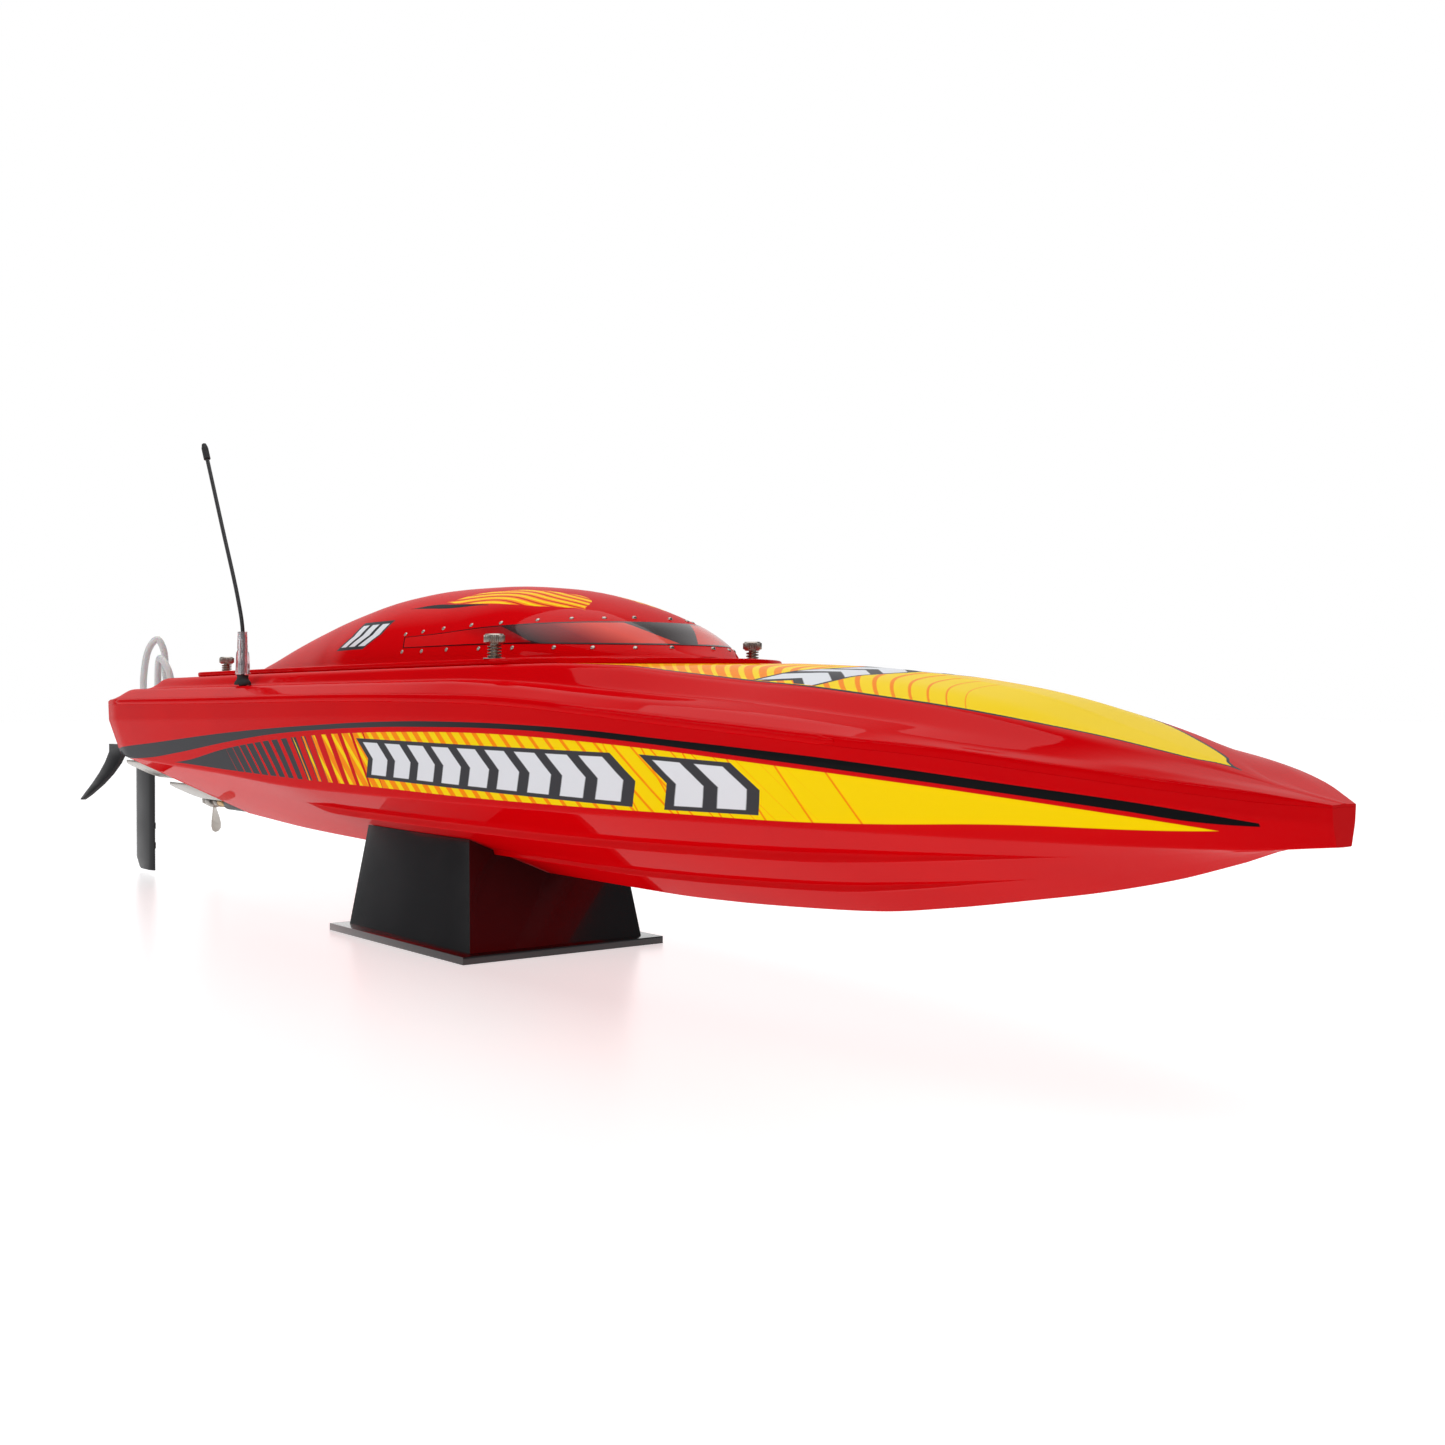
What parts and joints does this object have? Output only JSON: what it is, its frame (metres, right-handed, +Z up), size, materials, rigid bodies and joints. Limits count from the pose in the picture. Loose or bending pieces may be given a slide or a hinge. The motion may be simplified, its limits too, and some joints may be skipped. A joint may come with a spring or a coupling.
{
  "type": "rc powerboat",
  "caption": "Deep-vee electric radio-control racing boat with a lift-off canopy hatch, steering rudder, propeller drive, trim tabs and display stand.",
  "frame": {"origin": "on the floor under the stand, at the centre of the whole object's length and breadth", "axes": "+X to the bow, +Y to port, +Z up"},
  "size_m": [1.063, 0.2434, 0.3047],
  "materials": {
    "red_gelcoat": "high-gloss clear coat over red",
    "black_gloss": "gloss",
    "black_satin": "satin",
    "black_rubber": "matt",
    "bright_steel": "machined",
    "alloy": "satin",
    "black_alloy": "black anodised",
    "brass": "polished",
    "clear_silicone": "translucent",
    "dark_window": "high gloss",
    "battery_wrap": "satin",
    "foam": "matt"
  },
  "bodies": {
    "stand": {"display_stand": "black_gloss"},
    "boat": {"hull_shell": "red_gelcoat", "deck_shell": "red_gelcoat", "rub_rail_port": "red_gelcoat", "rub_rail_starboard": "red_gelcoat", "antenna_gland": "black_rubber", "antenna_sleeve": "clear_silicone", "antenna_whip": "black_satin", "antenna_cap": "black_satin", "rudder_bracket": "black_alloy", "pushrod_boot": "black_rubber", "steering_servo": "black_satin", "servo_mount": "alloy", "water_inlet_1": "alloy", "water_inlet_2": "alloy", "water_outlet": "alloy", "cooling_hose_tall": "clear_silicone", "cooling_hose_low": "clear_silicone", "turn_fin_port": "black_satin", "turn_fin_starboard": "black_satin", "propeller_strut": "black_alloy", "strut_bushing": "brass", "stuffing_tube": "brass", "flex_shaft": "bright_steel", "motor": "black_alloy", "water_jacket": "alloy", "motor_mount": "alloy", "speed_controller": "black_satin", "receiver_box": "black_satin", "battery_port": "battery_wrap", "battery_starboard": "battery_wrap", "battery_tray": "black_satin", "flotation_block": "foam", "trim_tab_hinge_outer_port": "alloy", "trim_tab_hinge_inner_port": "alloy", "trim_tab_hinge_outer_starboard": "alloy", "trim_tab_hinge_inner_starboard": "alloy"},
    "hatch": {"canopy_hatch": "red_gelcoat", "window_band": "dark_window", "screw_spring_fore_starboard": "bright_steel", "screw_spring_fore_port": "bright_steel", "screw_spring_aft_starboard": "bright_steel", "screw_spring_aft_port": "bright_steel"},
    "rudder": {"rudder_blade": "black_satin", "rudder_tiller": "alloy", "tiller_nut": "bright_steel"},
    "steering_horn": {"servo_horn": "black_satin"},
    "pushrod": {"rudder_pushrod": "bright_steel"},
    "drive_shaft": {"propeller_shaft": "bright_steel", "propeller": "bright_steel", "propeller_nut": "bright_steel"},
    "motor_rotor": {"shaft_coupler": "alloy"},
    "screw_fore_starboard": {"thumb_screw_fore_starboard": "bright_steel"},
    "screw_fore_port": {"thumb_screw_fore_port": "bright_steel"},
    "screw_aft_starboard": {"thumb_screw_aft_starboard": "bright_steel"},
    "screw_aft_port": {"thumb_screw_aft_port": "bright_steel"},
    "tab_outer_port": {"trim_tab_outer_port": "alloy"},
    "tab_inner_port": {"trim_tab_inner_port": "alloy"},
    "tab_outer_starboard": {"trim_tab_outer_starboard": "alloy"},
    "tab_inner_starboard": {"trim_tab_inner_starboard": "alloy"}
  },
  "joints": [
    {"name": "boat_lift", "type": "slide", "parent": "stand", "child": "boat", "axis": [0, 0, 1], "range_m": [0, 0.15]},
    {"name": "hatch_lift", "type": "slide", "parent": "boat", "child": "hatch", "axis": [0, 0, 1], "range_m": [0, 0.1]},
    {"name": "screw_release_fore_starboard", "type": "slide", "parent": "hatch", "child": "screw_fore_starboard", "axis": [0, 0, 1], "range_m": [0, 0.004], "deforming": ["screw_spring_fore_starboard"]},
    {"name": "screw_release_fore_port", "type": "slide", "parent": "hatch", "child": "screw_fore_port", "axis": [0, 0, 1], "range_m": [0, 0.004], "deforming": ["screw_spring_fore_port"]},
    {"name": "screw_release_aft_starboard", "type": "slide", "parent": "hatch", "child": "screw_aft_starboard", "axis": [0, 0, 1], "range_m": [0, 0.004], "deforming": ["screw_spring_aft_starboard"]},
    {"name": "screw_release_aft_port", "type": "slide", "parent": "hatch", "child": "screw_aft_port", "axis": [0, 0, 1], "range_m": [0, 0.004], "deforming": ["screw_spring_aft_port"]},
    {"name": "rudder_turn", "type": "hinge", "parent": "boat", "child": "rudder", "pos_m": [-0.5085, -0.044, 0.0875], "axis": [0, 0, 1], "range_deg": [-35, 35]},
    {"name": "servo_horn_turn", "type": "hinge", "parent": "boat", "child": "steering_horn", "pos_m": [-0.3165, -0.044, 0.113], "axis": [0, 0, 1], "range_deg": [-36, 36]},
    {"name": "pushrod_slide", "type": "slide", "parent": "boat", "child": "pushrod", "axis": [1, 0, 0], "range_m": [-0.0083, 0.0083]},
    {"name": "propeller_spin", "type": "hinge", "parent": "boat", "child": "drive_shaft", "pos_m": [-0.4815, 0, 0.059], "axis": [1, 0, 0], "continuous": true},
    {"name": "motor_spin", "type": "hinge", "parent": "boat", "child": "motor_rotor", "pos_m": [-0.1325, 0, 0.076], "axis": [1, 0, 0], "continuous": true},
    {"name": "trim_outer_port", "type": "hinge", "parent": "boat", "child": "tab_outer_port", "pos_m": [-0.4079, 0.069, 0.0883], "axis": [0, 0.898, 0.4399], "range_deg": [-6, 6]},
    {"name": "trim_inner_port", "type": "hinge", "parent": "boat", "child": "tab_inner_port", "pos_m": [-0.4079, 0.031, 0.06969], "axis": [0, 0.898, 0.4399], "range_deg": [-6, 6]},
    {"name": "trim_outer_starboard", "type": "hinge", "parent": "boat", "child": "tab_outer_starboard", "pos_m": [-0.4079, -0.069, 0.0883], "axis": [0, 0.898, -0.4399], "range_deg": [-6, 6]},
    {"name": "trim_inner_starboard", "type": "hinge", "parent": "boat", "child": "tab_inner_starboard", "pos_m": [-0.4079, -0.031, 0.06969], "axis": [0, 0.898, -0.4399], "range_deg": [-6, 6]}
  ],
  "couplings": [
    {"joint": "servo_horn_turn", "follows": "rudder_turn", "ratio": 1},
    {"joint": "pushrod_slide", "follows": "rudder_turn", "m_per_rad": -0.01315},
    {"joint": "motor_spin", "follows": "propeller_spin", "ratio": 1}
  ]
}
